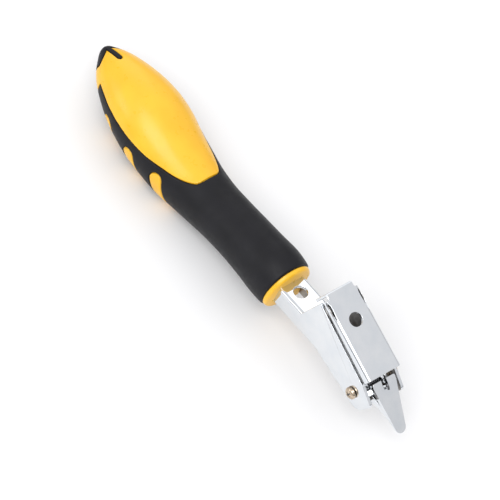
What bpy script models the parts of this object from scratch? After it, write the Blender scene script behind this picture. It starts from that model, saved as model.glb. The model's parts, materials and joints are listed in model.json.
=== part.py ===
"""Heavy-duty staple remover: a two-tone lever handle under a chromed, spring-closed claw head.

Lengths below are millimetres. Three frames share the pivot axis (+Y) as their origin:
the tool frame has X forward along the tool, the head frame is pitched nose down,
and the shank frame follows the lever's steel channel.
"""
import math

import bmesh
import bpy
from mathutils import Vector

MM = 0.001
GAP = 0.3                       # clearance between neighbouring pieces
REACH = 40.0                    # overshoot of a cutter past the piece that it cuts

# Attitudes, in degrees about +Y
HEAD_PITCH = 18.5               # nose down
SHANK_PITCH = -7.0              # rising forward

# Pivot stack, from the middle out
SCREW_RADIUS = 1.5
SCREW_HEAD_RADIUS = 2.5
SCREW_HEAD_HEIGHT = 1.8
SCREW_HEAD_RIM = 0.5
SCREW_DOME = (25, 50, 72)       # degrees from the crown
SCREW_BEYOND_NUT = 1.6
SCREW_CHAMFER = 0.4
PHILLIPS_REACH = 1.35
PHILLIPS_BLADE = 0.55
PHILLIPS_DEPTH = 1.1
SLEEVE_RADIUS = 2.3
SLEEVE_BORE = 1.7
SLEEVE_HALF = 6.95
THRUST_RADIUS = 4.2
THRUST_INNER = 6.45
LOCK_WASHER_RADIUS = 3.1
LOCK_WASHER_SHEET = 0.8
NUT_FLATS = 5.5
NUT_HEIGHT = 2.4

# Head body: two side plates joined by a web around the lower front corner
BODY_HALF = 8.55
PLATE_SHEET = 1.3
PLATE_BACK = -35.0
PLATE_TOP_BACK = 10.8
PLATE_TOP_FRONT = 8.9
PLATE_SHOULDER = -0.2
PLATE_NOSE = (8.3, 6.6)
PLATE_NOSE_RADIUS = 1.8
PLATE_SHOULDER_RADIUS = 2.0
PLATE_BACK_RADIUS = 0.8
PLATE_TOE = (7.1, -4.1)
PLATE_HEEL_HEIGHT = -10.2
PLATE_TOE_RADIUS = 4.5
PLATE_HEEL_RADIUS = 5.0
WEB_START = -64.0               # degrees around the toe's arc
WEB_END = -22.0

# Cover: a shallow channel over the side plates, with skirts inside them
COVER_HALF = 8.15
COVER_SHEET = 1.2
COVER_TOP = 13.8
COVER_BEND = 1.6
COVER_FRONT = -0.5
COVER_BACK = -34.6
COVER_SLIT = 1.3
SKIRT_HALF = 6.95
SKIRT_SHEET = 1.05
SKIRT_BOTTOM = 7.7
SKIRT_RECESS = (1.5, 1.0)       # behind the cover's rear and front edges
TAB_HALF = 6.3
TAB_BACK = -37.2
TAB_BOTTOM = 5.2
TAB_SHEET = 1.1
TAB_BEND = 0.7
TAB_INNER_BEND = 0.3
TAB_ROOT = 2.0                  # how far the tab's sheet reaches into the cover
RELIEF_PLAN = ((-33.8, 7.35), (-32.3, 6.95), (-30.8, 6.9), (-25.4, 7.3), (-30.8, 7.8), (-32.6, 7.8))
RELIEF_FLOOR = 10.8
HOLE_RADIUS = 2.8
COVER_HOLE_PLACE = -23.5

# Claws
CLAW_BACK = 1.0
CLAW_TOP = 10.68
CLAW_TIP = 22.4
CLAW_SLOPE = 0.30               # drop per unit forward
CLAW_SHEET = 1.9
CLAW_EDGE = 0.5
CLAW_TAPER_START = 12.0
CLAW_HALF = 5.5
CLAW_CORNER = 0.9
CLAW_STRAIGHT = 3.0             # length of the parallel part at the back
CLAW_TIP_HALF = 2.5
EAR_RANGE = (2.1, 4.4)
EAR_SHEET = 1.0
EAR_BOTTOM = 5.6
FOOT_HALF = 6.95
FOOT_SHEET = 0.9
NOTCH_HALF = 1.2
NOTCH_FRONT = 4.3
NOTCH_CORNER = 1.0
REAR_CLAW_HALF = 4.6
REAR_CLAW_TIP_HALF = 1.7
REAR_EAR_SHEET = 1.3
REAR_EAR_RADIUS = 4.1
REAR_EAR_FRONT = 6.6
RIVET_PLACE = (-9.0, 1.6)       # in the shank frame
RIVET_RADIUS = 1.25
RIVET_LUG_RADIUS = 2.3

# Shank: a channel, open underneath
SHANK_HALF = 6.2
SHANK_SHEET = 1.3
SHANK_BEND = 1.6
SHANK_TOP = 6.8
SHANK_BOTTOM = -2.1
SHANK_BACK = -86.0
TANG_STEP = (-58.0, -65.0)      # the walls rise between these places
TANG_BOTTOM = 1.2
SHANK_WEB_FRONT = -7.5
SHANK_NOSE_RADIUS = 4.4
SHANK_HOLE_PLACE = -43.4

# Spring
WIRE_RADIUS = 0.45
COIL_RADIUS = 3.2
COIL_TURNS = 5
COIL_HALF = 2.3
COIL_STEPS = 14
COIL_START = 105.0              # degrees about the pivot
SPRING_LEG_LIFT = 0.15          # clearance over the shank
SPRING_LEG_PLACES = (-18.0, -13.0, -9.5, -7.4)      # along the shank
SPRING_LEG_DESCENT = ((-6.0, 6.5), (-4.2, 5.0))     # shank frame
CLAW_LEG = (                    # head frame
    (3.2, -2.3, 2.5),
    (3.2, -2.3, 4.3),
    (3.1, -1.6, 6.2),
    (2.9, -0.7, 8.0),
    (2.9, -0.1, 9.6),
    (3.3, 0.0, 10.75),
    (4.2, 0.0, 11.05),
    (5.4, 0.0, 10.4),
)

# Handle sections from the collar to the butt: x, centre height, half width, half height
SECTIONS = (
    (-49.2, -4.2, 10.8, 11.2),
    (-53.5, -4.2, 11.5, 12.0),
    (-59.0, -4.3, 11.7, 12.3),
    (-67.0, -5.1, 11.2, 11.8),
    (-77.0, -6.4, 10.9, 11.4),
    (-87.0, -8.2, 10.9, 11.3),
    (-96.0, -10.1, 11.4, 11.4),
    (-105.0, -11.2, 12.4, 12.0),
    (-113.0, -11.5, 13.8, 12.8),
    (-121.0, -10.8, 14.8, 13.3),
    (-130.0, -9.0, 15.8, 14.1),
    (-138.0, -7.5, 15.6, 14.0),
    (-146.0, -6.6, 14.4, 13.1),
    (-153.0, -5.8, 12.4, 11.4),
    (-160.0, -5.0, 9.7, 8.9),
    (-164.5, -4.1, 7.0, 6.4),
    (-168.0, -2.9, 3.8, 3.5),
)
BUTT = (-170.0, -2.0)
COLLAR_BACK = -51.3
GRIP_THICKNESS = 2.4
CORE_BACK = -163.0
NOSE_FRONT = -47.2              # in the shank frame
HANDLE_SIDES = 32

# Windows through the grip: the top panel's edge as x and angle from the top, then the fingers
PANEL_EDGE = (
    (-101.9, 0.0),
    (-102.3, 25.0),
    (-103.6, 33.0),
    (-106.6, 42.0),
    (-110.5, 49.0),
    (-115.5, 55.0),
    (-120.0, 61.0),
    (-124.0, 66.0),
    (-127.5, 69.0),
    (-131.0, 71.5),
    (-138.0, 75.5),
    (-147.5, 78.0),
    (-158.0, 79.0),
)
FINGER_TOPS = ((-115.2, -9.5), (-130.2, -10.8), (-145.8, -10.7))
FINGER_RADIUS = 2.8
FINGER_LEAN = 0.5
BUTT_WINDOW = -158.0
RIBBON_TOP_BACK = -160.5
RIBBON_HALF = 1.2
RIBBON_LOWER_HALF = 4.5
RIBBON_LOWER_TOP = -3.0

# Finishes: colour, metallic, roughness
CHROME = ((0.80, 0.82, 0.84), 1.0, 0.12)
STEEL = ((0.55, 0.56, 0.58), 1.0, 0.35)
BRASS = ((0.72, 0.58, 0.40), 1.0, 0.25)
SPRING_STEEL = ((0.20, 0.20, 0.21), 1.0, 0.40)
YELLOW = ((1.0, 0.62, 0.06), 0.0, 0.28)
BLACK = ((0.03, 0.03, 0.034), 0.0, 0.55)


def clear_scene():
    """Remove every object of the scene."""
    for item in list(bpy.data.objects):
        bpy.data.objects.remove(item)


def object_from(name, points, faces):
    """An object of points in millimetres and faces as index lists."""
    mesh = bpy.data.meshes.new(name)
    mesh.from_pydata([Vector(point) * MM for point in points], [], faces)
    build = bmesh.new()
    build.from_mesh(mesh)
    bmesh.ops.recalc_face_normals(build, faces=build.faces)
    build.to_mesh(mesh)
    build.free()
    item = bpy.data.objects.new(name, mesh)
    bpy.context.collection.objects.link(item)
    return item


def prism(outline, start, end, axis):
    """A closed prism: the outline swept along axis X, Y or Z from start to end."""
    order = {"X": (2, 0, 1), "Y": (0, 2, 1), "Z": (0, 1, 2)}[axis]
    points = []
    for level in (start, end):
        for pair in outline:
            triple = (pair[0], pair[1], level)
            points.append([triple[index] for index in order])
    count = len(outline)
    faces = [list(range(count)), list(range(2 * count - 1, count - 1, -1))]
    for index in range(count):
        after = (index + 1) % count
        faces.append([index, after, after + count, index + count])
    return object_from("prism", points, faces)


def block(x_range, y_range, z_range):
    """A rectangular block between the given limits."""
    outline = [(x_range[0], z_range[0]), (x_range[1], z_range[0])]
    outline += [(x_range[1], z_range[1]), (x_range[0], z_range[1])]
    return prism(outline, y_range[0], y_range[1], "Y")


def circle(centre, radius, sides):
    """Points of a circle around centre."""
    turns = [2 * math.pi * index / sides for index in range(sides)]
    return [(centre[0] + radius * math.cos(turn), centre[1] + radius * math.sin(turn)) for turn in turns]


def rod(centre, radius, start, end, sides=32):
    """A cylinder along Y."""
    return prism(circle(centre, radius, sides), start, end, "Y")


def corner_arc(before, corner, after, radius):
    """Centre, start angle and sweep of the arc that rounds a corner."""
    corner = Vector(corner)
    inward = (Vector(before) - corner).normalized()
    outward = (Vector(after) - corner).normalized()
    half = inward.angle(outward) / 2
    centre = corner + (inward + outward).normalized() * radius / math.sin(half)
    first = corner + inward * radius / math.tan(half) - centre
    last = corner + outward * radius / math.tan(half) - centre
    start = math.atan2(first.y, first.x)
    sweep = math.atan2(last.y, last.x) - start
    if sweep > math.pi:
        sweep -= 2 * math.pi
    if sweep < -math.pi:
        sweep += 2 * math.pi
    return centre, start, sweep


def rounded(corners, steps=6):
    """An outline from corners given as x, z, radius."""
    outline = []
    count = len(corners)
    for index, (x, z, radius) in enumerate(corners):
        if radius == 0:
            outline.append((x, z))
            continue
        before = corners[index - 1][:2]
        after = corners[(index + 1) % count][:2]
        centre, start, sweep = corner_arc(before, (x, z), after, radius)
        for step in range(steps + 1):
            turn = start + sweep * step / steps
            outline.append((centre.x + radius * math.cos(turn), centre.y + radius * math.sin(turn)))
    return outline


def hull(points):
    """Convex outline around points, by a monotone chain."""
    def half(ordered):
        chain = []
        for point in ordered:
            while len(chain) > 1:
                first, second = chain[-2], chain[-1]
                cross = (second[0] - first[0]) * (point[1] - first[1])
                cross -= (second[1] - first[1]) * (point[0] - first[0])
                if cross > 1e-9:
                    break
                chain.pop()
            chain.append(point)
        return chain[:-1]

    ordered = sorted(set(points))
    return half(ordered) + half(ordered[::-1])


def combine(base, tool, operation):
    """Apply an exact Boolean of tool to base, and drop the tool."""
    modifier = base.modifiers.new("combine", "BOOLEAN")
    modifier.operation = operation
    modifier.object = tool
    modifier.solver = "EXACT"
    graph = bpy.context.evaluated_depsgraph_get()
    mesh = bpy.data.meshes.new_from_object(base.evaluated_get(graph))
    base.modifiers.clear()
    base.data = mesh
    bpy.data.objects.remove(tool)
    return base


def cut(base, tool):
    return combine(base, tool, "DIFFERENCE")


def join(base, tool):
    return combine(base, tool, "UNION")


def keep_inside(base, tool):
    return combine(base, tool, "INTERSECT")


def material(name, finish):
    """A plain Principled material."""
    colour, metallic, roughness = finish
    made = bpy.data.materials.new(name)
    made.use_nodes = True
    shader = made.node_tree.nodes["Principled BSDF"]
    shader.inputs["Base Color"].default_value = (*colour, 1.0)
    shader.inputs["Metallic"].default_value = metallic
    shader.inputs["Roughness"].default_value = roughness
    return made


def finish_piece(item, name, parent, finish):
    """Clean a piece's mesh, then name it, colour it and hang it on its frame."""
    build = bmesh.new()
    build.from_mesh(item.data)
    bmesh.ops.remove_doubles(build, verts=build.verts, dist=0.002 * MM)
    bmesh.ops.dissolve_degenerate(build, edges=build.edges, dist=0.002 * MM)
    build.to_mesh(item.data)
    build.free()
    item.name = name
    item.data.name = name
    item.data.materials.clear()
    item.data.materials.append(material(name, finish))
    item.data.shade_smooth()
    item.data.set_sharp_from_angle(angle=math.radians(32))
    item.parent = parent
    return item


def frame_empty(name, parent, pitch):
    """An empty on the pivot axis, pitched about +Y."""
    item = bpy.data.objects.new(name, None)
    item.rotation_euler = (0, math.radians(pitch), 0)
    item.parent = parent
    bpy.context.collection.objects.link(item)
    return item


def channel_section(half, top, bottom, sheet, bend):
    """Cross-section (y, z) of a channel that opens downward."""
    outer = rounded([(half, bottom, 0), (half, top, bend), (-half, top, bend), (-half, bottom, 0)], 4)
    inner_bend = max(bend - sheet, 0.2)
    inner_half = half - sheet
    corners = [(-inner_half, bottom, 0), (-inner_half, top - sheet, inner_bend)]
    corners += [(inner_half, top - sheet, inner_bend), (inner_half, bottom, 0)]
    return outer + rounded(corners, 3)


# ---------------------------------------------------------------- handle


def section_at(x):
    """Centre height, half width and half height of the handle at x, by a Catmull-Rom curve."""
    index = 0
    while index < len(SECTIONS) - 2 and x < SECTIONS[index + 1][0]:
        index += 1
    first, second = SECTIONS[index], SECTIONS[index + 1]
    before = SECTIONS[max(index - 1, 0)]
    after = SECTIONS[min(index + 2, len(SECTIONS) - 1)]
    span = second[0] - first[0]
    t = (x - first[0]) / span
    values = []
    for part in (1, 2, 3):
        start_slope = (second[part] - before[part]) / (second[0] - before[0]) * span
        end_slope = (after[part] - first[part]) / (after[0] - first[0]) * span
        value = first[part] * (2 * t ** 3 - 3 * t ** 2 + 1)
        value += start_slope * (t ** 3 - 2 * t ** 2 + t)
        value += second[part] * (3 * t ** 2 - 2 * t ** 3)
        value += end_slope * (t ** 3 - t ** 2)
        values.append(value)
    return values


def ring_at(x, inset):
    """One cross-section ring of the handle, drawn in by inset."""
    height, half_width, half_height = section_at(x)
    ring = []
    for index in range(HANDLE_SIDES):
        turn = 2 * math.pi * (index + 0.5) / HANDLE_SIDES
        across = (half_width - inset) * math.sin(turn)
        up = (half_height - inset) * math.cos(turn)
        ring.append((x, across, height + up))
    return ring


def handle_loft(places, inset, butt=None):
    """A closed loft through the handle's rings at the given places."""
    points = []
    for x in places:
        points += ring_at(x, inset)
    sides = HANDLE_SIDES
    faces = [list(range(sides))]
    for row in range(len(places) - 1):
        for index in range(sides):
            after = (index + 1) % sides
            corner = row * sides
            faces.append([corner + index, corner + after, corner + sides + after, corner + sides + index])
    last = (len(places) - 1) * sides
    if butt is None:
        faces.append(list(range(last, last + sides)))
    else:
        points.append((butt[0], 0, butt[1]))
        tip = len(points) - 1
        for index in range(sides):
            faces.append([last + index, last + (index + 1) % sides, tip])
    return object_from("loft", points, faces)


def spread(start, end, count):
    """Evenly spaced places from start to end."""
    return [start + (end - start) * index / (count - 1) for index in range(count)]


def envelope(front):
    """The whole outside of the handle behind front."""
    places = spread(front, -150.0, 20) + [-154.0, -158.0, -161.5, -164.5, -166.8, -168.0, -169.3]
    return handle_loft(places, 0.0, BUTT)


def panel_edge_points():
    """The top panel's edge in side view, as x and z."""
    edge = []
    for x, angle in PANEL_EDGE:
        height, _, half_height = section_at(x)
        edge.append((x, height + half_height * math.cos(math.radians(angle))))
    return edge


def windows(grow):
    """The places where the yellow core reaches the surface, grown by grow."""
    edge = [(x + grow, z - grow) for x, z in panel_edge_points()]
    back = (edge[-1][0] - REACH, edge[-1][1])
    outline = [(edge[0][0], REACH), *edge, back, (back[0], REACH)]
    cutter = prism(outline, -REACH, REACH, "Y")
    for x, z in FINGER_TOPS:
        top = circle((x, z), FINGER_RADIUS + grow, 16)
        foot = circle((x + FINGER_LEAN * REACH, z - REACH), FINGER_RADIUS + grow, 16)
        cutter = join(cutter, prism(hull(top + foot), -REACH, REACH, "Y"))
    cutter = join(cutter, block((-REACH * 5, BUTT_WINDOW + grow), (-REACH, REACH), (-REACH, 0)))
    ribbon = RIBBON_HALF - grow
    lower = RIBBON_LOWER_HALF - grow
    top = block((-REACH * 6, RIBBON_TOP_BACK - grow), (-ribbon, ribbon), (-REACH * 2, REACH * 2))
    cutter = cut(cutter, top)
    wide = block((-REACH * 6, BUTT_WINDOW + 2), (-lower, lower), (-REACH * 2, RIBBON_LOWER_TOP - grow))
    return cut(cutter, wide)


def tang_side(front, grow):
    """Side outline of the shank behind front, grown by grow."""
    low = SHANK_BOTTOM - grow
    raised = TANG_BOTTOM - grow
    back = SHANK_BACK - grow
    top = SHANK_TOP + 1
    outline = [(front, top), (back, top), (back, raised)]
    return outline + [(TANG_STEP[1] - grow, raised), (TANG_STEP[0] - grow, low), (front, low)]


def shank_space():
    """The space that the shank's tang takes in the core, in the tool frame."""
    section = channel_section(
        SHANK_HALF + GAP, SHANK_TOP + GAP, SHANK_BOTTOM - 1, SHANK_SHEET + 2 * GAP, SHANK_BEND)
    space = prism(section, SHANK_BACK - 1, REACH, "X")
    space = keep_inside(space, prism(tang_side(REACH - 1, GAP), -REACH, REACH, "Y"))
    space.rotation_euler = (0, math.radians(SHANK_PITCH), 0)
    return space


def core_nose():
    """The core's tongue between the shank's walls."""
    half = SHANK_HALF - SHANK_SHEET - GAP
    nose = block((-56.0, NOSE_FRONT), (-half, half), (SHANK_BOTTOM, SHANK_TOP - SHANK_SHEET - GAP))
    nose.rotation_euler = (0, math.radians(SHANK_PITCH), 0)
    return nose


def handle_core(lever):
    """The hard yellow core: collar, tongue, and the panel, fingers and butt that show."""
    core = handle_loft(spread(-49.0, CORE_BACK, 20), GRIP_THICKNESS)
    shown = keep_inside(envelope(COLLAR_BACK - GAP), windows(0.0))
    core = join(core, shown)
    core = join(core, handle_loft([SECTIONS[0][0], COLLAR_BACK], 0.0))
    core = cut(core, shank_space())
    core = join(core, core_nose())
    return finish_piece(core, "handle_core", lever, YELLOW)


def grip_overmold(lever):
    """The soft black skin around the core."""
    skin = envelope(COLLAR_BACK - GAP)
    hollow = handle_loft(spread(-49.0, CORE_BACK - GAP, 20), GRIP_THICKNESS - GAP)
    skin = cut(skin, hollow)
    skin = cut(skin, windows(GAP))
    return finish_piece(skin, "grip_overmold", lever, BLACK)


# ---------------------------------------------------------------- lever steel


def shank(shank_frame):
    """The lever's channel, with a round nose on the pivot and a tang in the handle."""
    section = channel_section(SHANK_HALF, SHANK_TOP, -SHANK_NOSE_RADIUS - 1, SHANK_SHEET, SHANK_BEND)
    body = prism(section, SHANK_BACK - 1, SHANK_NOSE_RADIUS + 1, "X")
    nose = circle((0, 0), SHANK_NOSE_RADIUS, 32)
    neck = [(SHANK_WEB_FRONT, SHANK_TOP + 1), (SHANK_WEB_FRONT, SHANK_BOTTOM)]
    side = prism(hull(nose + neck), -REACH, REACH, "Y")
    rear = prism(tang_side(SHANK_WEB_FRONT + 0.5, 0), -REACH, REACH, "Y")
    body = keep_inside(body, join(side, rear))
    inner = SHANK_HALF - SHANK_SHEET
    body = cut(body, block((SHANK_WEB_FRONT, REACH), (-inner, inner), (-REACH, REACH)))
    body = cut(body, rod((0, 0), SLEEVE_RADIUS + GAP, -REACH, REACH))
    body = cut(body, rod(RIVET_PLACE, RIVET_RADIUS + GAP, -REACH, REACH, 16))
    hole = prism(circle((SHANK_HOLE_PLACE, 0), HOLE_RADIUS, 32), 0, REACH, "Z")
    body = cut(body, hole)
    return finish_piece(body, "shank", shank_frame, CHROME)


def in_head(place):
    """A shank-frame point in the head frame, with the tool at rest."""
    turn = math.radians(HEAD_PITCH - SHANK_PITCH)
    x = place[0] * math.cos(turn) - place[1] * math.sin(turn)
    z = place[0] * math.sin(turn) + place[1] * math.cos(turn)
    return (x, z)


def tongue_plan(back, back_half, tip, tip_half):
    """Plan outline (x, y) of a tapered tongue with a round tip."""
    centre = tip - tip_half
    turns = [math.radians(80 - 20 * step) for step in range(9)]
    nose = [(centre + tip_half * math.cos(turn), tip_half * math.sin(turn)) for turn in turns]
    straight = back + CLAW_STRAIGHT
    start = [(back, -back_half), (straight, -back_half)]
    return [(back, back_half), (straight, back_half)] + nose + start[::-1]


def rear_claw(head_frame):
    """The lower claw: ears on the sleeve inside the shank, and a tongue up to the tip."""
    rivet = in_head(RIVET_PLACE)
    ears = hull(circle((0, 0), REAR_EAR_RADIUS, 32) + circle(rivet, RIVET_LUG_RADIUS, 20))
    claw = prism(ears, -REAR_CLAW_HALF, REAR_CLAW_HALF, "Y")
    top = [(1.5, 3.8), (5.6, 5.2), (10.0, 5.3), (15.0, 4.6), (20.0, 3.8), (CLAW_TIP - 0.5, 3.45)]
    bottom = [(CLAW_TIP - 0.5, 3.05), (20.0, 3.1), (15.0, 3.2), (10.0, 2.9), (6.6, 1.8), (2.0, -1.0)]
    claw = join(claw, prism(top + bottom, -REAR_CLAW_HALF, REAR_CLAW_HALF, "Y"))
    plan = tongue_plan(2.0, REAR_CLAW_HALF, CLAW_TIP - 0.4, REAR_CLAW_TIP_HALF)
    sides = prism(plan, -REACH, REACH, "Z")
    sides = join(sides, block((-REACH, 3.0), (-REACH, REACH), (-REACH + 1, REACH - 1)))
    claw = keep_inside(claw, sides)
    inner = REAR_CLAW_HALF - REAR_EAR_SHEET
    claw = cut(claw, block((-REACH, REAR_EAR_FRONT), (-inner, inner), (-REACH, REACH)))
    claw = cut(claw, rod((0, 0), SLEEVE_RADIUS + GAP, -REACH, REACH))
    claw = cut(claw, rod(rivet, RIVET_RADIUS + GAP, -REACH, REACH, 16))
    return finish_piece(claw, "rear_claw", head_frame, CHROME)


def rear_claw_rivet(shank_frame):
    """The rivet that locks the lower claw in the shank."""
    half = SHANK_HALF - 0.02
    shaft = rod(RIVET_PLACE, RIVET_RADIUS, -half, half, 16)
    return finish_piece(shaft, "rear_claw_rivet", shank_frame, STEEL)


# ---------------------------------------------------------------- head


def plate_corners():
    """The side plate's corners as x, z, radius."""
    return [
        (PLATE_BACK, PLATE_TOP_BACK, PLATE_BACK_RADIUS),
        (PLATE_BACK, PLATE_HEEL_HEIGHT, PLATE_HEEL_RADIUS),
        (*PLATE_TOE, PLATE_TOE_RADIUS),
        (*PLATE_NOSE, PLATE_NOSE_RADIUS),
        (PLATE_SHOULDER, PLATE_TOP_FRONT, PLATE_SHOULDER_RADIUS),
    ]


def arc_points(centre, radius, turns):
    """Points at the given angles around centre."""
    return [(centre.x + radius * math.cos(turn), centre.y + radius * math.sin(turn)) for turn in turns]


def head_body(head_frame):
    """Both side plates and the web that joins them under the claws."""
    inner = BODY_HALF - PLATE_SHEET
    outline = rounded(plate_corners())
    body = prism(outline, inner, BODY_HALF, "Y")
    corners = plate_corners()
    centre, _, _ = corner_arc(corners[1][:2], corners[2][:2], corners[3][:2], PLATE_TOE_RADIUS)
    turns = [math.radians(angle) for angle in spread(WEB_START, WEB_END, 8)]
    outer = arc_points(centre, PLATE_TOE_RADIUS - 0.03, turns)
    under = arc_points(centre, PLATE_TOE_RADIUS - PLATE_SHEET, turns)
    web_half = inner + PLATE_SHEET / 2
    body = join(body, prism(outer + under[::-1], -web_half, web_half, "Y"))
    body = join(body, prism(outline, -BODY_HALF, -inner, "Y"))
    body = cut(body, rod((0, 0), SCREW_RADIUS + GAP, -REACH, REACH, 24))
    return finish_piece(body, "head_body", head_frame, CHROME)


def rear_tab():
    """The cover's rear lip: its sheet carried back flush and bent down."""
    under = COVER_TOP - TAB_SHEET
    inside = TAB_BACK + TAB_SHEET
    root = COVER_BACK + TAB_ROOT
    outline = rounded([
        (TAB_BACK, TAB_BOTTOM, 0),
        (TAB_BACK, COVER_TOP, TAB_BEND),
        (root, COVER_TOP, 0),
        (root, under, 0),
        (inside, under, TAB_INNER_BEND),
        (inside, TAB_BOTTOM, 0),
    ])
    return prism(outline, -TAB_HALF, TAB_HALF, "Y")


def cover(head_frame):
    """The upper channel with its inner skirts, round hole, rear lip and bend reliefs."""
    section = channel_section(COVER_HALF, COVER_TOP, PLATE_TOP_FRONT, COVER_SHEET, COVER_BEND)
    body = prism(section, COVER_BACK, COVER_FRONT, "X")
    rise = (PLATE_TOP_BACK - PLATE_TOP_FRONT) / (PLATE_SHOULDER - PLATE_BACK)
    front_edge = PLATE_TOP_FRONT + COVER_SLIT
    back_edge = front_edge + rise * (COVER_FRONT - COVER_BACK)
    above = [(COVER_BACK - 1, back_edge), (COVER_FRONT + 1, front_edge)]
    above += [(COVER_FRONT + 1, REACH), (COVER_BACK - 1, REACH)]
    body = keep_inside(body, prism(above, -REACH, REACH, "Y"))
    lengths = (COVER_BACK + SKIRT_RECESS[0], COVER_FRONT - SKIRT_RECESS[1])
    heights = (SKIRT_BOTTOM, COVER_TOP - COVER_SHEET / 2)
    body = join(body, block(lengths, (SKIRT_HALF - SKIRT_SHEET, SKIRT_HALF), heights))
    body = join(body, block(lengths, (-SKIRT_HALF, SKIRT_SHEET - SKIRT_HALF), heights))
    body = join(body, rear_tab())
    body = cut(body, prism(RELIEF_PLAN, RELIEF_FLOOR, REACH, "Z"))
    mirrored = [(x, -y) for x, y in RELIEF_PLAN]
    body = cut(body, prism(mirrored[::-1], RELIEF_FLOOR, REACH, "Z"))
    hole = prism(circle((COVER_HOLE_PLACE, 0), HOLE_RADIUS, 32), COVER_TOP - 3, REACH, "Z")
    body = cut(body, hole)
    return finish_piece(body, "cover", head_frame, CHROME)


def claw_surface(x):
    """Height of the front claw's upper face."""
    return CLAW_TOP - CLAW_SLOPE * (x - CLAW_BACK)


def front_claw(head_frame):
    """The upper claw: a bevelled tongue with two footed ears bent down inside the side plates."""
    side = [(CLAW_BACK, claw_surface(CLAW_BACK)), (CLAW_TIP, claw_surface(CLAW_TIP))]
    side.append((CLAW_TIP, claw_surface(CLAW_TIP) - CLAW_EDGE))
    side.append((CLAW_TAPER_START, claw_surface(CLAW_TAPER_START) - CLAW_SHEET))
    side.append((CLAW_BACK, claw_surface(CLAW_BACK) - CLAW_SHEET))
    claw = prism(side, -CLAW_HALF, CLAW_HALF, "Y")
    plan = tongue_plan(CLAW_BACK - 1, CLAW_HALF, CLAW_TIP, CLAW_TIP_HALF)
    claw = keep_inside(claw, prism(plan, -REACH, REACH, "Z"))
    back = rounded([
        (CLAW_BACK, -CLAW_HALF, CLAW_CORNER),
        (REACH, -CLAW_HALF, 0),
        (REACH, CLAW_HALF, 0),
        (CLAW_BACK, CLAW_HALF, CLAW_CORNER),
    ])
    claw = keep_inside(claw, prism(back, -REACH, REACH, "Z"))
    ear = [(x, claw_surface(x) - CLAW_SHEET / 2) for x in EAR_RANGE]
    ear += [(EAR_RANGE[1], EAR_BOTTOM), (EAR_RANGE[0], EAR_BOTTOM)]
    foot = (EAR_BOTTOM, EAR_BOTTOM + FOOT_SHEET)
    inner = CLAW_HALF - EAR_SHEET
    claw = join(claw, prism(ear, inner, CLAW_HALF - 0.02, "Y"))
    claw = join(claw, prism(ear, 0.02 - CLAW_HALF, -inner, "Y"))
    claw = join(claw, block(EAR_RANGE, (inner + EAR_SHEET / 2, FOOT_HALF), foot))
    claw = join(claw, block(EAR_RANGE, (-FOOT_HALF, -inner - EAR_SHEET / 2), foot))
    notch = rounded([
        (CLAW_BACK - 1, -NOTCH_HALF, 0),
        (NOTCH_FRONT, -NOTCH_HALF, NOTCH_CORNER),
        (NOTCH_FRONT, NOTCH_HALF, NOTCH_CORNER),
        (CLAW_BACK - 1, NOTCH_HALF, 0),
    ], 4)
    claw = cut(claw, prism(notch, -REACH, REACH, "Z"))
    return finish_piece(claw, "front_claw", head_frame, CHROME)


# ---------------------------------------------------------------- pivot


def turned(profile, sides):
    """A closed solid turned about Y from a profile (radius, y) that starts and ends on the axis."""
    points = [(0, profile[0][1], 0)]
    rings = profile[1:-1]
    for radius, y in rings:
        points += [(x, y, z) for x, z in circle((0, 0), radius, sides)]
    points.append((0, profile[-1][1], 0))
    faces = []
    for index in range(sides):
        after = (index + 1) % sides
        faces.append([0, 1 + index, 1 + after])
        for row in range(len(rings) - 1):
            base = 1 + row * sides
            faces.append([base + index, base + after, base + sides + after, base + sides + index])
        base = 1 + (len(rings) - 1) * sides
        faces.append([base + index, base + after, len(points) - 1])
    return object_from("turned", points, faces)


def pivot_screw(head_frame):
    """The Phillips pan-head screw, its head on the right side plate."""
    seat = -BODY_HALF - GAP
    rim = seat - SCREW_HEAD_RIM
    dome = SCREW_HEAD_HEIGHT - SCREW_HEAD_RIM
    crown = seat - SCREW_HEAD_HEIGHT
    end = BODY_HALF + LOCK_WASHER_SHEET + NUT_HEIGHT + SCREW_BEYOND_NUT
    profile = [(0, crown)]
    for angle in SCREW_DOME:
        turn = math.radians(angle)
        profile.append((SCREW_HEAD_RADIUS * math.sin(turn), rim - dome * math.cos(turn)))
    profile += [(SCREW_HEAD_RADIUS, rim), (SCREW_HEAD_RADIUS, seat), (SCREW_RADIUS, seat)]
    profile += [(SCREW_RADIUS, end - SCREW_CHAMFER), (SCREW_RADIUS - SCREW_CHAMFER, end), (0, end)]
    screw = turned(profile, 24)
    for long, short in ((PHILLIPS_REACH, PHILLIPS_BLADE / 2), (PHILLIPS_BLADE / 2, PHILLIPS_REACH)):
        slot = block((-long, long), (crown - 1, crown + PHILLIPS_DEPTH), (-short, short))
        screw = cut(screw, slot)
    return finish_piece(screw, "pivot_screw", head_frame, BRASS)


def ring_piece(name, parent, outer, bore, start, end, finish, sides=32):
    """A plain ring around the pivot axis."""
    ring = rod((0, 0), outer, start, end, sides)
    ring = cut(ring, rod((0, 0), bore, start - 1, end + 1, 24))
    return finish_piece(ring, name, parent, finish)


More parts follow.
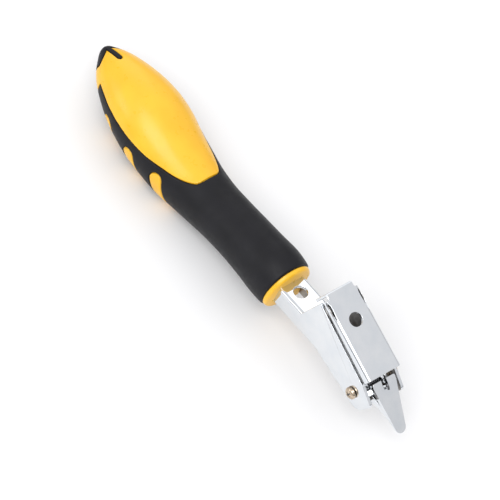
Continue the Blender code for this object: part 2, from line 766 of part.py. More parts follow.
def pivot_stack(head_frame):
    """Sleeve, thrust washers, lock washer and nut."""
    ring_piece("pivot_sleeve", head_frame, SLEEVE_RADIUS, SLEEVE_BORE, -SLEEVE_HALF, SLEEVE_HALF, STEEL)
    bore = SLEEVE_RADIUS + 0.2
    ring_piece("thrust_washer_left", head_frame, THRUST_RADIUS, bore, THRUST_INNER, SLEEVE_HALF, BRASS)
    ring_piece("thrust_washer_right", head_frame, THRUST_RADIUS, bore, -SLEEVE_HALF, -THRUST_INNER, BRASS)
    seat = BODY_HALF + GAP
    top = seat + LOCK_WASHER_SHEET
    ring_piece("lock_washer", head_frame, LOCK_WASHER_RADIUS, SCREW_RADIUS + 0.2, seat, top, STEEL)
    nut_start = top + 0.1
    across = NUT_FLATS / math.sqrt(3)
    nut_end = nut_start + NUT_HEIGHT
    ring_piece("pivot_nut", head_frame, across, SCREW_RADIUS + 0.15, nut_start, nut_end, STEEL, 6)


def wire_route():
    """Centre line of the spring, in the head frame: lever leg, coil, claw leg."""
    lie = SHANK_TOP + WIRE_RADIUS + SPRING_LEG_LIFT
    leg = [(place, lie) for place in SPRING_LEG_PLACES] + list(SPRING_LEG_DESCENT)
    route = []
    for place in leg:
        x, z = in_head(place)
        route.append(Vector((x, COIL_HALF, z)))
    start = math.radians(COIL_START)
    sweep = -2 * math.pi * COIL_TURNS - start
    steps = COIL_STEPS * COIL_TURNS + 4
    for step in range(steps + 1):
        angle = start + sweep * step / steps
        y = COIL_HALF - 2 * COIL_HALF * step / steps
        route.append(Vector((COIL_RADIUS * math.cos(angle), y, COIL_RADIUS * math.sin(angle))))
    return route + [Vector(point) for point in CLAW_LEG]


def torsion_spring(head_frame):
    """The round-wire torsion spring that keeps the claws closed."""
    route = wire_route()
    curve = bpy.data.curves.new("torsion_spring", "CURVE")
    curve.dimensions = "3D"
    curve.bevel_depth = WIRE_RADIUS * MM
    curve.bevel_resolution = 1
    curve.use_fill_caps = True
    spline = curve.splines.new("POLY")
    spline.points.add(len(route) - 1)
    for point, place in zip(spline.points, route):
        point.co = (*(place * MM), 1.0)
    guide = bpy.data.objects.new("guide", curve)
    bpy.context.collection.objects.link(guide)
    graph = bpy.context.evaluated_depsgraph_get()
    mesh = bpy.data.meshes.new_from_object(guide.evaluated_get(graph))
    bpy.data.objects.remove(guide)
    item = bpy.data.objects.new("torsion_spring", mesh)
    bpy.context.collection.objects.link(item)
    return finish_piece(item, "torsion_spring", head_frame, SPRING_STEEL)


def stand_on_floor(base):
    """Put the tool frame so that the world origin is under the middle of the tool."""
    bpy.context.view_layer.update()
    low = Vector((math.inf,) * 3)
    high = Vector((-math.inf,) * 3)
    for item in bpy.data.objects:
        if item.type != "MESH":
            continue
        for vertex in item.data.vertices:
            place = item.matrix_world @ vertex.co
            low = Vector(map(min, low, place))
            high = Vector(map(max, high, place))
    base.location = (-(low.x + high.x) / 2, -(low.y + high.y) / 2, -low.z)


def build():
    clear_scene()
    lever = frame_empty("lever_frame", None, 0)
    shank_frame = frame_empty("shank_frame", lever, SHANK_PITCH)
    head_frame = frame_empty("head_frame", lever, HEAD_PITCH)
    handle_core(lever)
    grip_overmold(lever)
    shank(shank_frame)
    rear_claw(head_frame)
    rear_claw_rivet(shank_frame)
    head_body(head_frame)
    cover(head_frame)
    front_claw(head_frame)
    pivot_screw(head_frame)
    pivot_stack(head_frame)
    torsion_spring(head_frame)
    stand_on_floor(lever)
    bpy.context.view_layer.update()


build()
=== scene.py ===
import json
import math

import bmesh
import bpy
import numpy as np
from mathutils import Matrix, Vector

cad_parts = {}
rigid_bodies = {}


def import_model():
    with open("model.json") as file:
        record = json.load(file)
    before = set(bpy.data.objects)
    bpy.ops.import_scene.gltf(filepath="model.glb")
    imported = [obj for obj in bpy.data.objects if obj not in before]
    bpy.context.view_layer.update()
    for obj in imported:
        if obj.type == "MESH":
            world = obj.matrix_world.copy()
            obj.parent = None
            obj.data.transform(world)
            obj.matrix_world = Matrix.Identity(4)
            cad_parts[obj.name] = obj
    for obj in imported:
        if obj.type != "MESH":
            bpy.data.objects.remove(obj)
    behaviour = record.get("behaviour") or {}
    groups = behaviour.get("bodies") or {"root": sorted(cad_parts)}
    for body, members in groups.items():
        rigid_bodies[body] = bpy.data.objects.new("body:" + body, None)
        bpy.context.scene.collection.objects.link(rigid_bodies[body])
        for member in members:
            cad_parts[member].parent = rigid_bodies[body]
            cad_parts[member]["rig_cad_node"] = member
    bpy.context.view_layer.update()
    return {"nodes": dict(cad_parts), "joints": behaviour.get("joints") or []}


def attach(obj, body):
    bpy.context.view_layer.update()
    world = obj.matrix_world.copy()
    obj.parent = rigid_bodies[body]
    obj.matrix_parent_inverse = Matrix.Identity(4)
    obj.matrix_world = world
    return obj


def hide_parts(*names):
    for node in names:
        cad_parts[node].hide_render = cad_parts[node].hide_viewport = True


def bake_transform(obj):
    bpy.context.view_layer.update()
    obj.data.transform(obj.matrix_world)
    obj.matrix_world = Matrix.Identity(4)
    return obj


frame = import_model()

# The staple remover's looks. Lengths are millimetres from the pivot axis unless a name says otherwise:
# the tool frame has X forward, the head frame is pitched nose down, the shank frame rises forward.
MM = 0.001
PIVOT = Vector(frame["joints"][0]["pos_m"])
HEAD_PITCH = 18.5               # degrees about +Y
SHANK_PITCH = -7.0

# Handle sections: x, centre height, half width, half height
SECTIONS = (
    (-170.0, -2.0, 0.0, 0.0),
    (-168.0, -2.9, 3.8, 3.5),
    (-164.5, -4.1, 7.0, 6.4),
    (-160.0, -5.0, 9.7, 8.9),
    (-153.0, -5.8, 12.4, 11.4),
    (-146.0, -6.6, 14.4, 13.1),
    (-138.0, -7.5, 15.6, 14.0),
    (-130.0, -9.0, 15.8, 14.1),
    (-121.0, -10.8, 14.8, 13.3),
    (-113.0, -11.5, 13.8, 12.8),
    (-105.0, -11.2, 12.4, 12.0),
    (-96.0, -10.1, 11.4, 11.4),
    (-87.0, -8.2, 10.9, 11.3),
    (-77.0, -6.4, 10.9, 11.4),
    (-67.0, -5.1, 11.2, 11.8),
    (-59.0, -4.3, 11.7, 12.3),
    (-53.5, -4.2, 11.5, 12.0),
    (-49.2, -4.2, 10.8, 11.2),
)
BUTT_END = -170.0
BUTT_ROUND = -168.0             # the butt closes as a paraboloid behind this place
BUTT_ROWS = 14
COLLAR_FRONT = -49.2
COLLAR_BACK = -51.4
COLLAR_INSET = 0.35
COLLAR_STEP = 0.4               # length over which the collar steps in
COLLAR_ROUND = 1.0              # radius of its front rim
COLLAR_ROLL = 0.999             # how much of the rim's quarter circle is used
SKIN_FRONT = -50.6              # where the skin ends, inside the collar
GRID = 0.35                     # spacing of the handle's mesh
LOFT_SHARP_ANGLE = 50           # its edges sharper than this, in degrees, shade as creases

# The top panel's front and side edge: degrees from the top, x
PANEL_EDGE = (
    (-25.0, -102.3),
    (0.0, -101.9),
    (25.0, -102.3),
    (33.0, -103.6),
    (42.0, -106.6),
    (49.0, -110.5),
    (55.0, -115.5),
    (61.0, -120.0),
    (66.0, -124.0),
    (71.5, -131.0),
    (75.5, -138.0),
    (78.0, -147.5),
    (79.5, -158.0),
)
FINGER_TOPS = ((-115.2, -9.5), (-130.2, -10.8), (-145.8, -10.7))
FINGER_RADIUS = 2.8
FINGER_LEAN = 0.5
FINGER_DROP = 30                # how far down an inlay runs, past the handle's underside
BUTT_WINDOW = -158.0            # behind this place the butt is yellow, but for the ribbon and the cap
RIBBON_START = -161.7           # the black ribbon over the butt, and its wider part underneath
RIBBON_END = BUTT_END * 2
RIBBON_HALF = 1.2
RIBBON_LOWER_HALF = 4.5
RIBBON_LOWER_TOP = -3.0
RIBBON_LOWER_START = BUTT_WINDOW + 2
CAP_BACK = -168.3               # the black cap behind the butt, in the middle
CAP_SWEEP = 0.62                # how fast its edge comes forward to the sides
CAP_HALF = 7.0

# The grooves between rubber and plastic
GROOVE_HALF = 0.12
RUBBER_SHOULDER = 0.5
PLASTIC_SHOULDER = 0.35
SHOULDER_ROLL = 0.98            # how much of a shoulder's quarter circle is used
GROOVE_STEEPNESS = 4.0
UNDERCUT = 1.6
PLASTIC_INSET = 0.03            # the plastic lies this far under the rubber
LEAST_STEP = 1e-4               # the smallest mesh step and slope that distances divide by
LEAST_SLOPE = 0.2

# Shank and nose in the shank frame
NOSE_HALF = 4.6
NOSE_RANGE = (-56.0, -47.2)
NOSE_HEIGHTS = (-2.1, 5.2)
NOSE_ROUND = 0.6

# Edges of the steel pieces
WELD = 2e-6                     # metres
FLAT_ANGLE = 0.6                # neighbours this close in direction, in degrees, are one face
EDGE_ANGLE = 32.0
EDGE_SEGMENTS = 3

# Spring
WIRE_RADIUS = 0.45
COIL_RADIUS = 3.2
COIL_TURNS = 5
COIL_HALF = 2.3
COIL_STEPS = 36
COIL_START = 105.0              # degrees about the pivot
LEG_STEPS = 6                   # steps between two points of a leg
SPRING_LEG = (                  # along the shank: place, height
    (-18.0, 7.4),
    (-13.0, 7.4),
    (-9.5, 7.4),
    (-7.4, 7.4),
    (-6.0, 6.5),
    (-4.2, 5.0),
)
CLAW_LEG = (                    # in the head frame
    (3.2, -2.3, 2.5),
    (3.2, -2.3, 4.3),
    (3.1, -1.6, 6.2),
    (2.9, -0.7, 8.0),
    (2.9, -0.1, 9.6),
    (3.3, 0.0, 10.75),
    (4.2, 0.0, 11.05),
    (5.4, 0.0, 10.4),
)

# Inner faces that get painted shade, a darker steel where the head's slits, gaps and recesses lie in
# shade; in the frame of the piece
COVER_REAR = -34.4
COVER_SIDE = 7.0
COVER_UNDER = 12.7
RELIEF_X = (-33.6, -25.6)
RELIEF_Y = (6.9, 7.8)
RELIEF_TOP = 13.2
BODY_SIDE = 7.3
BODY_FLOOR = -3.0
SHANK_SIDE = 4.95
SHANK_UNDER = 5.6
CLAW_SIDE = 4.6
CLAW_UNDER = 8.4                # at the pivot
CLAW_SLOPE = 0.3                # drop per unit forward
RECESS_Y = (-10.35, -9)
RECESS_RADIUS = 1.42

# Noise in the materials
NOISE_DETAIL = 3.0
NOISE_SPAN = (0.3, 0.7)         # the part of its range that roughness uses
COLOUR_SPAN = (0.35, 0.65)      # the part that colour uses

# Pieces with rounded edges: CAD node, body, slot, width of the edge
FINISHED = (
    ("shank", "lever", "chrome", 0.28),
    ("head_body", "head", "chrome", 0.22),
    ("cover", "head", "chrome", 0.22),
    ("front_claw", "head", "chrome", 0.20),
    ("rear_claw", "lever", "chrome", 0.18),
    ("pivot_screw", "head", "bronze", 0.12),
    ("pivot_nut", "head", "bare_steel", 0.25),
    ("lock_washer", "head", "bare_steel", 0.12),
)

# CAD nodes that only take a material: node, slot
KEPT = (
    ("pivot_sleeve", "bare_steel"),
    ("thrust_washer_left", "bronze"),
    ("thrust_washer_right", "bronze"),
    ("rear_claw_rivet", "bare_steel"),
)

# Camera and light, in metres
VIEW_TARGET = PIVOT + Vector((-0.06433, -0.01349, 0.01331))
VIEW_RIGHT = Vector((0.5918, 0.7613, 0.2654))
VIEW_UP = Vector((-0.7579, 0.4131, 0.5051))
VIEW_DISTANCE = 2.0
VIEW_WIDTH = 0.188
SENSOR_WIDTH = 36.0             # millimetres
VIEW_CLIP = (0.1, 20.0)
LIGHTS = (                      # name, place, side of the square, watts
    ("key", (0.24, -0.66, 1.12), 0.8, 7.5),
    ("ridge", (-0.75, -1.05, 0.5), 0.6, 2.2),
    ("side", (-0.9, 0.6, 0.8), 0.9, 1.7),
)
FLOOR_HALF = 4
FLOOR_GREY = 0.93
FLOOR_ROUGHNESS = 0.9
BACKDROP_GREY = 0.9             # the surround as the camera sees it
SKY_STOPS = ((0.0, 0.12), (0.12, 0.20), (0.30, 0.74), (0.60, 0.78), (1.0, 0.90))
SKY_BLUE = 1.02


# ---------------------------------------------------------------- meshes


def new_object(name, points, faces):
    """A smooth-shaded object from points in metres."""
    mesh = bpy.data.meshes.new(name)
    mesh.from_pydata(points, [], faces)
    mesh.shade_smooth()
    piece = bpy.data.objects.new(name, mesh)
    bpy.context.scene.collection.objects.link(piece)
    return piece


def object_from(name, shape):
    """A smooth-shaded object from a bmesh, which is freed."""
    shape.verts.index_update()
    points = [vertex.co.copy() for vertex in shape.verts]
    faces = [[vertex.index for vertex in face.verts] for face in shape.faces]
    shape.free()
    return new_object(name, points, faces)


def refined(node, width):
    """A copy of a CAD node with rounded edges, its flat faces kept whole."""
    shape = bmesh.new()
    shape.from_mesh(frame["nodes"][node].data)
    bmesh.ops.remove_doubles(shape, verts=shape.verts, dist=WELD)
    flat = math.radians(FLAT_ANGLE)
    bmesh.ops.dissolve_limit(shape, angle_limit=flat, verts=shape.verts, edges=shape.edges)
    piece = object_from(node + "_finished", shape)
    bevel = piece.modifiers.new("edges", "BEVEL")
    bevel.limit_method = "ANGLE"
    bevel.angle_limit = math.radians(EDGE_ANGLE)
    bevel.width = width * MM
    bevel.segments = EDGE_SEGMENTS
    bevel.use_clamp_overlap = False
    weight = piece.modifiers.new("normals", "WEIGHTED_NORMAL")
    weight.weight = 100
    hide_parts(node)
    return piece


def apply_modifiers(piece):
    """Bake a piece's modifiers into its mesh."""
    graph = bpy.context.evaluated_depsgraph_get()
    mesh = bpy.data.meshes.new_from_object(piece.evaluated_get(graph))
    piece.modifiers.clear()
    piece.data = mesh


# ---------------------------------------------------------------- handle


def smooth_curve(places, knots):
    """Read a curve through knots (place, value, ...) at the given places."""
    knots = np.array(knots)
    at, values = knots[:, 0], knots[:, 1:]
    steps = np.diff(at)[:, None]
    chords = np.diff(values, axis=0) / steps
    through = (values[2:] - values[:-2]) / (at[2:] - at[:-2])[:, None]
    slopes = np.concatenate([chords[:1], through, chords[-1:]])
    index = np.clip(np.searchsorted(at, places, side="right") - 1, 0, len(at) - 2)
    span = steps[index]
    t = ((places - at[index])[..., None]) / span
    result = values[index] * (2 * t ** 3 - 3 * t ** 2 + 1)
    result += slopes[index] * span * (t ** 3 - 2 * t ** 2 + t)
    result += values[index + 1] * (3 * t ** 2 - 2 * t ** 3)
    result += slopes[index + 1] * span * (t ** 3 - t ** 2)
    return result


def handle_grid():
    """Places along the handle, angles around it, and the section at each place."""
    count = int((COLLAR_FRONT - BUTT_ROUND) / GRID)
    barrel = np.linspace(COLLAR_FRONT, BUTT_ROUND, count)
    closing = np.linspace(1, 0, BUTT_ROWS)[1:-1]
    places = np.concatenate([barrel, BUTT_END + (BUTT_ROUND - BUTT_END) * closing ** 2])
    sections = smooth_curve(places, SECTIONS[1:])
    last = np.array(SECTIONS[1][1:])
    tip = np.array(SECTIONS[0][1:])
    shares = closing[:, None]
    sections[count:, 1:] = last[1:] * shares
    sections[count:, :1] = tip[:1] + (last[:1] - tip[:1]) * shares ** 2
    widest = max(row[2] for row in SECTIONS)
    around = int(2 * math.pi * widest / GRID)
    angles = np.linspace(-math.pi, math.pi, around, endpoint=False)
    return places, angles, sections


def ring_points(places, angles, sections, inset):
    """Points of the handle's rings, drawn in by inset."""
    x = np.broadcast_to(places[:, None], inset.shape)
    across = np.maximum(sections[:, 1:2] - inset, 0) * np.sin(angles)
    up = np.maximum(sections[:, 2:3] - inset, 0) * np.cos(angles) + sections[:, 0:1]
    return np.stack([x, across, up], axis=-1)


def on_surface(field, points):
    """Turn a field into a distance along the surface, by its slope there."""
    along = np.linalg.norm(np.gradient(points, axis=0), axis=-1)
    wrapped = np.concatenate([points[:, -1:], points, points[:, :1]], axis=1)
    around = np.linalg.norm(np.gradient(wrapped, axis=1), axis=-1)[:, 1:-1]
    ringed = np.concatenate([field[:, -1:], field, field[:, :1]], axis=1)
    rise_along = np.gradient(field, axis=0) / np.maximum(along, LEAST_STEP)
    rise_around = np.gradient(ringed, axis=1)[:, 1:-1] / np.maximum(around, LEAST_STEP)
    return field / np.maximum(np.hypot(rise_along, rise_around), LEAST_SLOPE)


def stadium(x, z, start, end, radius):
    """How far inside a stadium around the segment from start to end a point is."""
    span = np.array(end) - np.array(start)
    share = ((x - start[0]) * span[0] + (z - start[1]) * span[1]) / span.dot(span)
    share = np.clip(share, 0, 1)
    return radius - np.hypot(x - start[0] - share * span[0], z - start[1] - share * span[1])


def yellow_distance(points, angles):
    """Distance inside the yellow zones, negative in the black ones."""
    x, y, z = points[..., 0], points[..., 1], points[..., 2]
    turned = np.minimum(np.abs(np.degrees(angles)), PANEL_EDGE[-1][0])
    edge = smooth_curve(turned, PANEL_EDGE)[:, 0]
    zones = [on_surface(edge[None, :] - x, points)]
    for top in FINGER_TOPS:
        foot = (top[0] + FINGER_LEAN * FINGER_DROP, top[1] - FINGER_DROP)
        zones.append(on_surface(stadium(x, z, top, foot, FINGER_RADIUS), points))
    zones.append(on_surface(BUTT_WINDOW - x, points))
    yellow = np.maximum.reduce(zones)
    ribbon = stadium(x, y, (RIBBON_START, 0), (RIBBON_END, 0), RIBBON_HALF)
    lower = np.minimum(RIBBON_LOWER_HALF - np.abs(y), RIBBON_LOWER_TOP - z)
    lower = np.minimum(lower, RIBBON_LOWER_START - x)
    cap = np.minimum(CAP_BACK + CAP_SWEEP * np.abs(y) - x, CAP_HALF - np.abs(y))
    black = np.maximum.reduce([on_surface(field, points) for field in (ribbon, lower, cap)])
    collar = on_surface(x - COLLAR_BACK, points)
    return np.maximum(np.minimum(yellow, -black), collar)


def shoulder(distance, radius):
    """Inset of a surface that rolls over its edge and drops, for a distance past the edge."""
    inside = np.clip(distance + radius, 0, radius)
    roll = radius - np.sqrt(radius ** 2 - np.minimum(inside, radius * SHOULDER_ROLL) ** 2)
    return np.minimum(roll + GROOVE_STEEPNESS * np.maximum(distance, 0), UNDERCUT)


def loft(name, points):
    """A closed object from rings of points, capped in front and brought to the butt's tip."""
    rows, sides = points.shape[:2]
    count = rows * sides
    index = np.arange(count).reshape(rows, sides)
    after = np.roll(index, -1, axis=1)
    quads = np.stack([index[:-1], after[:-1], after[1:], index[1:]], axis=-1).reshape(-1, 4)
    tip = [[int(a), int(b), count] for a, b in zip(index[-1], after[-1])]
    front = [int(place) for place in index[0]]
    flat = points.reshape(-1, 3).tolist() + [[BUTT_END, 0, SECTIONS[0][1]]]
    world = [PIVOT + Vector(point) * MM for point in flat]
    piece = new_object(name, world, quads.tolist() + tip + [front])
    shape = bmesh.new()
    shape.from_mesh(piece.data)
    bmesh.ops.recalc_face_normals(shape, faces=shape.faces)
    shape.to_mesh(piece.data)
    shape.free()
    piece.data.set_sharp_from_angle(angle=math.radians(LOFT_SHARP_ANGLE))
    return piece


def make_handle():
    """The rubber skin and the plastic core, which meet in narrow grooves."""
    places, angles, sections = handle_grid()
    flat = np.zeros((len(places), len(angles)))
    base = ring_points(places, angles, sections, flat)
    distance = yellow_distance(base, angles)
    rubber = shoulder(distance + GROOVE_HALF, RUBBER_SHOULDER)
    behind = places < SKIN_FRONT
    skin = loft("grip_skin", ring_points(places[behind], angles, sections[behind], rubber[behind]))
    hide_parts("grip_overmold")
    plastic = shoulder(GROOVE_HALF - distance, PLASTIC_SHOULDER) + PLASTIC_INSET
    rim = np.clip(1 - (COLLAR_FRONT - places) / COLLAR_ROUND, 0, 1)[:, None]
    near_collar = np.clip((places - COLLAR_BACK) / COLLAR_STEP + 1, 0, 1)[:, None]
    rolled = COLLAR_ROUND * (1 - np.sqrt(1 - rim ** 2 * COLLAR_ROLL))
    plastic = plastic + COLLAR_INSET * near_collar + rolled
    core = loft("handle_shell", ring_points(places, angles, sections, plastic))
    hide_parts("handle_core")
    return skin, core


def frame_matrix(pitch):
    """From a pitched frame in millimetres to the world in metres."""
    turn = Matrix.Rotation(math.radians(pitch), 4, "Y")
    return Matrix.Translation(PIVOT) @ turn @ Matrix.Scale(MM, 4)


def make_nose():
    """The plastic tongue that fills the shank's channel in front of the collar."""
    shape = bmesh.new()
    bmesh.ops.create_cube(shape, size=1.0)
    low = Vector((NOSE_RANGE[0], -NOSE_HALF, NOSE_HEIGHTS[0]))
    high = Vector((NOSE_RANGE[1], NOSE_HALF, NOSE_HEIGHTS[1]))
    for vertex in shape.verts:
        share = vertex.co + Vector((0.5, 0.5, 0.5))
        vertex.co = Vector(low[axis] + share[axis] * (high[axis] - low[axis]) for axis in range(3))
    shape.transform(frame_matrix(SHANK_PITCH))
    edges = shape.edges[:]
    bmesh.ops.bevel(shape, geom=edges, offset=NOSE_ROUND * MM, segments=4, affect="EDGES", profile=0.5)
    return object_from("handle_nose", shape)


# ---------------------------------------------------------------- spring


def wire_route():
    """Centre line of the spring in the head frame: lever leg, coil, claw leg."""
    to_head = Matrix.Rotation(math.radians(SHANK_PITCH - HEAD_PITCH), 3, "Y")
    rear = [to_head @ Vector((place, COIL_HALF, height)) for place, height in SPRING_LEG]
    start = math.radians(COIL_START)
    sweep = -2 * math.pi * COIL_TURNS - start
    steps = COIL_STEPS * COIL_TURNS
    coil = []
    for step in range(steps + 1):
        angle = start + sweep * step / steps
        y = COIL_HALF - 2 * COIL_HALF * step / steps
        coil.append(Vector((COIL_RADIUS * math.cos(angle), y, COIL_RADIUS * math.sin(angle))))
    return rear, coil, [Vector(point) for point in CLAW_LEG]


def eased(points):
    """A denser, smooth run through points."""
    rows = [(index, *point) for index, point in enumerate(points)]
    places = np.linspace(0, len(points) - 1, (len(points) - 1) * LEG_STEPS + 1)
    return [Vector(row) for row in smooth_curve(places, rows)]


def make_spring():
    """The round-wire torsion spring."""
    rear, coil, front = wire_route()
    route = eased(rear + coil[:1])[:-1] + coil + eased(coil[-1:] + front)[1:]
    curve = bpy.data.curves.new("spring_wire", "CURVE")
    curve.dimensions = "3D"
    curve.bevel_depth = WIRE_RADIUS
    curve.bevel_resolution = 4
    curve.use_fill_caps = True
    spline = curve.splines.new("POLY")
    spline.points.add(len(route) - 1)
    for point, place in zip(spline.points, route):
        point.co = (*place, 1.0)
    guide = bpy.data.objects.new("spring_guide", curve)
    bpy.context.scene.collection.objects.link(guide)
    graph = bpy.context.evaluated_depsgraph_get()
    mesh = bpy.data.meshes.new_from_object(guide.evaluated_get(graph))
    bpy.data.objects.remove(guide)
    mesh.transform(frame_matrix(HEAD_PITCH))
    mesh.shade_smooth()
    wire = bpy.data.objects.new("spring_wire", mesh)
    bpy.context.scene.collection.objects.link(wire)
    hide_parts("torsion_spring")
    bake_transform(wire)
    return wire


# ---------------------------------------------------------------- materials


def noise(tree, size_mm):
    """A noise texture whose features are size_mm across."""
    coordinates = tree.nodes.new("ShaderNodeTexCoord")
    texture = tree.nodes.new("ShaderNodeTexNoise")
    texture.inputs["Scale"].default_value = 1 / (size_mm * MM)
    texture.inputs["Detail"].default_value = NOISE_DETAIL
    tree.links.new(coordinates.outputs["Object"], texture.inputs["Vector"])
    return texture.outputs["Fac"]


def mapped(tree, source, low, high):
    """Bring the middle of a noise's range to low..high."""
    node = tree.nodes.new("ShaderNodeMapRange")
    node.inputs["From Min"].default_value, node.inputs["From Max"].default_value = NOISE_SPAN
    node.inputs["To Min"].default_value = low
    node.inputs["To Max"].default_value = high
    tree.links.new(source, node.inputs["Value"])
    return node.outputs["Result"]


def surface(name, colours, colour_size, roughness, roughness_size, bumps, metallic=0.0, settings=None):
    """A material whose colour, roughness and fine relief all vary; bumps are (size, depth) in mm."""
    made = bpy.data.materials.new(name)
    made.use_nodes = True
    tree = made.node_tree
    shader = tree.nodes["Principled BSDF"]
    shader.inputs["Metallic"].default_value = metallic
    for socket, value in (settings or {}).items():
        shader.inputs[socket].default_value = value
    ramp = tree.nodes.new("ShaderNodeValToRGB")
    for element, place, colour in zip(ramp.color_ramp.elements, COLOUR_SPAN, colours):
        element.position = place
        element.color = (*colour, 1.0)
    tree.links.new(noise(tree, colour_size), ramp.inputs["Fac"])
    tree.links.new(ramp.outputs["Color"], shader.inputs["Base Color"])
    tree.links.new(mapped(tree, noise(tree, roughness_size), *roughness), shader.inputs["Roughness"])
    normal = None
    for size, depth in bumps:
        bump = tree.nodes.new("ShaderNodeBump")
        bump.inputs["Strength"].default_value = 1.0
        bump.inputs["Distance"].default_value = depth * MM
        tree.links.new(noise(tree, size), bump.inputs["Height"])
        if normal is not None:
            tree.links.new(normal, bump.inputs["Normal"])
        normal = bump.outputs["Normal"]
    tree.links.new(normal, shader.inputs["Normal"])
    return made


def make_materials():
    """One material for each slot of the record, and one darker steel that paints shade on inner faces;
    sizes in mm.
    """
    recipes = {
        "chrome": {
            "colours": ((0.74, 0.77, 0.80), (0.79, 0.81, 0.83)), "colour_size": 6.0,
            "roughness": (0.05, 0.12), "roughness_size": 2.0,
            "bumps": ((9.0, 0.030), (0.35, 0.0006)), "metallic": 1.0,
        },
        "bare_steel": {
            "colours": ((0.42, 0.43, 0.45), (0.58, 0.59, 0.60)), "colour_size": 1.5,
            "roughness": (0.25, 0.42), "roughness_size": 0.8,
            "bumps": ((0.3, 0.003),), "metallic": 1.0,
        },
        "bronze": {
            "colours": ((0.50, 0.40, 0.30), (0.72, 0.60, 0.46)), "colour_size": 1.2,
            "roughness": (0.18, 0.34), "roughness_size": 0.6,
            "bumps": ((0.25, 0.002),), "metallic": 1.0,
        },
        "spring_steel": {
            "colours": ((0.10, 0.10, 0.11), (0.20, 0.20, 0.21)), "colour_size": 1.5,
            "roughness": (0.22, 0.40), "roughness_size": 0.7,
            "bumps": ((0.2, 0.002),), "metallic": 1.0,
        },
        "yellow_nylon": {
            "colours": ((0.93, 0.50, 0.022), (0.98, 0.55, 0.030)), "colour_size": 12.0,
            "roughness": (0.26, 0.36), "roughness_size": 3.0,
            "bumps": ((0.6, 0.0012), (7.0, 0.008)),
        },
        "black_rubber": {
            "colours": ((0.0055, 0.0055, 0.0075), (0.0090, 0.0090, 0.0120)), "colour_size": 8.0,
            "roughness": (0.46, 0.58), "roughness_size": 2.0,
            "bumps": ((0.25, 0.006), (3.0, 0.01)), "settings": {"Specular IOR Level": 0.28},
        },
        # Painted shade: a darker, brownish steel that stands in for the shade in slits, gaps and recesses
        "painted_shade_steel": {
            "colours": ((0.30, 0.285, 0.27), (0.42, 0.40, 0.38)), "colour_size": 2.0,
            "roughness": (0.35, 0.55), "roughness_size": 0.8,
            "bumps": ((0.3, 0.004),), "metallic": 1.0,
        },
    }
    return {name: surface(name, **recipe) for name, recipe in recipes.items()}


def darken(piece, pitch, dark, made):
    """Paint shade on the faces for which dark(x, y, z) holds, with the darker steel material."""
    piece.data.materials.append(made["painted_shade_steel"])
    to_frame = frame_matrix(pitch).inverted()
    for face in piece.data.polygons:
        if dark(*(to_frame @ face.center)):
            face.material_index = 1


def dress(piece, made, slot):
    """Give a piece the material of a slot."""
    piece.data.materials.clear()
    piece.data.materials.append(made[slot])


def inside_cover(x, y, z):
    """Whether a place is under the cover or in the slots that relieve its flange."""
    along = RELIEF_X[0] < x < RELIEF_X[1]
    relief = along and RELIEF_Y[0] < abs(y) < RELIEF_Y[1] and z < RELIEF_TOP
    return relief or (x > COVER_REAR and z < COVER_UNDER and abs(y) < COVER_SIDE)


def inside_body(x, y, z):
    """Whether a place is between the side plates, above their web."""
    return abs(y) < BODY_SIDE and z > BODY_FLOOR


def inside_shank(x, y, z):
    """Whether a place is in the shank's channel."""
    return abs(y) < SHANK_SIDE and z < SHANK_UNDER


def inside_claw(x, y, z):
    """Whether a place is between the front claw's ears, under its sloping tongue."""
    return abs(y) < CLAW_SIDE and z < CLAW_UNDER - CLAW_SLOPE * x


def inside_recess(x, y, z):
    """Whether a place is in the cross of the screw's head."""
    return RECESS_Y[0] < y < RECESS_Y[1] and math.hypot(x, z) < RECESS_RADIUS


# The faces inside each piece that get painted shade: its frame's pitch, and whether a place is inside
INNER_FACES = {
    "cover": (HEAD_PITCH, inside_cover),
    "head_body": (HEAD_PITCH, inside_body),
    "shank": (SHANK_PITCH, inside_shank),
    "front_claw": (HEAD_PITCH, inside_claw),
    "pivot_screw": (HEAD_PITCH, inside_recess),
}


# ---------------------------------------------------------------- stage


def make_camera():
    """The photograph's view, nearly without perspective."""
    data = bpy.data.cameras.new("camera")
    data.sensor_width = SENSOR_WIDTH
    data.lens = SENSOR_WIDTH * VIEW_DISTANCE / VIEW_WIDTH
    data.clip_start, data.clip_end = VIEW_CLIP
    camera = bpy.data.objects.new("camera", data)
    back = VIEW_RIGHT.cross(VIEW_UP).normalized()
    rotation = Matrix((VIEW_RIGHT, VIEW_UP, back)).transposed()
    camera.matrix_world = Matrix.Translation(VIEW_TARGET + back * VIEW_DISTANCE) @ rotation.to_4x4()
    bpy.context.scene.collection.objects.link(camera)
    bpy.context.scene.camera = camera


def area_light(name, place, size, power):
    """A square light that faces the tool, placed in metres."""
    data = bpy.data.lights.new(name, "AREA")
    data.shape = "SQUARE"
    data.size = size
    data.energy = power
    lamp = bpy.data.objects.new(name, data)
    place = Vector(place)
    lamp.rotation_mode = "QUATERNION"
    lamp.rotation_quaternion = place.to_track_quat("Z", "Y")
    lamp.location = place
    bpy.context.scene.collection.objects.link(lamp)


def make_floor():
    """The pale paper that the tool lies on."""
    corners = ((-1, -1), (1, -1), (1, 1), (-1, 1))
    floor = new_object("floor", [(x * FLOOR_HALF, y * FLOOR_HALF, 0) for x, y in corners], [(0, 1, 2, 3)])
    paper = bpy.data.materials.new("paper")
    paper.use_nodes = True
    shader = paper.node_tree.nodes["Principled BSDF"]
    shader.inputs["Base Color"].default_value = (FLOOR_GREY, FLOOR_GREY, FLOOR_GREY, 1.0)
    shader.inputs["Roughness"].default_value = FLOOR_ROUGHNESS
    floor.data.materials.append(paper)


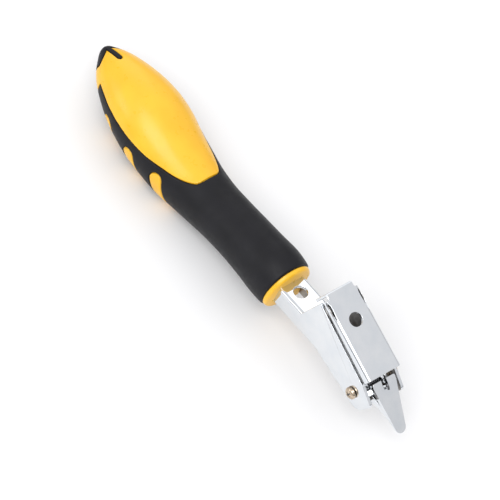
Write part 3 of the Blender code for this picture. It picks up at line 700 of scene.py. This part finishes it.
def make_surround():
    """A bright surround that dims towards the horizon, plain where the camera sees it."""
    world = bpy.data.worlds.new("surround")
    world.use_nodes = True
    bpy.context.scene.world = world
    tree = world.node_tree
    background = tree.nodes["Background"]
    coordinates = tree.nodes.new("ShaderNodeTexCoord")
    split = tree.nodes.new("ShaderNodeSeparateXYZ")
    ramp = tree.nodes.new("ShaderNodeValToRGB")
    for place, level in SKY_STOPS[1:-1]:
        ramp.color_ramp.elements.new(place)
    for element, (place, level) in zip(ramp.color_ramp.elements, SKY_STOPS):
        element.position = place
        element.color = (level, level, level * SKY_BLUE, 1.0)
    tree.links.new(coordinates.outputs["Generated"], split.inputs["Vector"])
    tree.links.new(split.outputs["Z"], ramp.inputs["Fac"])
    seen = tree.nodes.new("ShaderNodeLightPath")
    mix = tree.nodes.new("ShaderNodeMix")
    mix.data_type = "RGBA"
    mix.inputs["B"].default_value = (BACKDROP_GREY, BACKDROP_GREY, BACKDROP_GREY, 1.0)
    tree.links.new(seen.outputs["Is Camera Ray"], mix.inputs["Factor"])
    tree.links.new(ramp.outputs["Color"], mix.inputs["A"])
    tree.links.new(mix.outputs["Result"], background.inputs["Color"])
    background.inputs["Strength"].default_value = 1.0


def make_stage():
    """Floor, soft lights and surround."""
    make_floor()
    for light in LIGHTS:
        area_light(*light)
    make_surround()
    bpy.context.scene.view_settings.view_transform = "Standard"


# ---------------------------------------------------------------- the tool


def build():
    """The stage, then every piece of the tool on its body."""
    make_camera()
    make_stage()
    made = make_materials()

    skin, core = make_handle()
    nose = make_nose()
    for piece, slot in ((skin, "black_rubber"), (core, "yellow_nylon"), (nose, "yellow_nylon")):
        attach(piece, "lever")
        dress(piece, made, slot)

    for node, body, slot, width in FINISHED:
        piece = refined(node, width)
        apply_modifiers(piece)
        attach(piece, body)
        dress(piece, made, slot)
        # Painted shade: inner faces, slots and the screw's cross get the darker steel
        if node in INNER_FACES:
            darken(piece, *INNER_FACES[node], made)

    dress(make_spring(), made, "spring_steel")
    for node, slot in KEPT:
        dress(frame["nodes"][node], made, slot)


build()
bpy.context.view_layer.update()
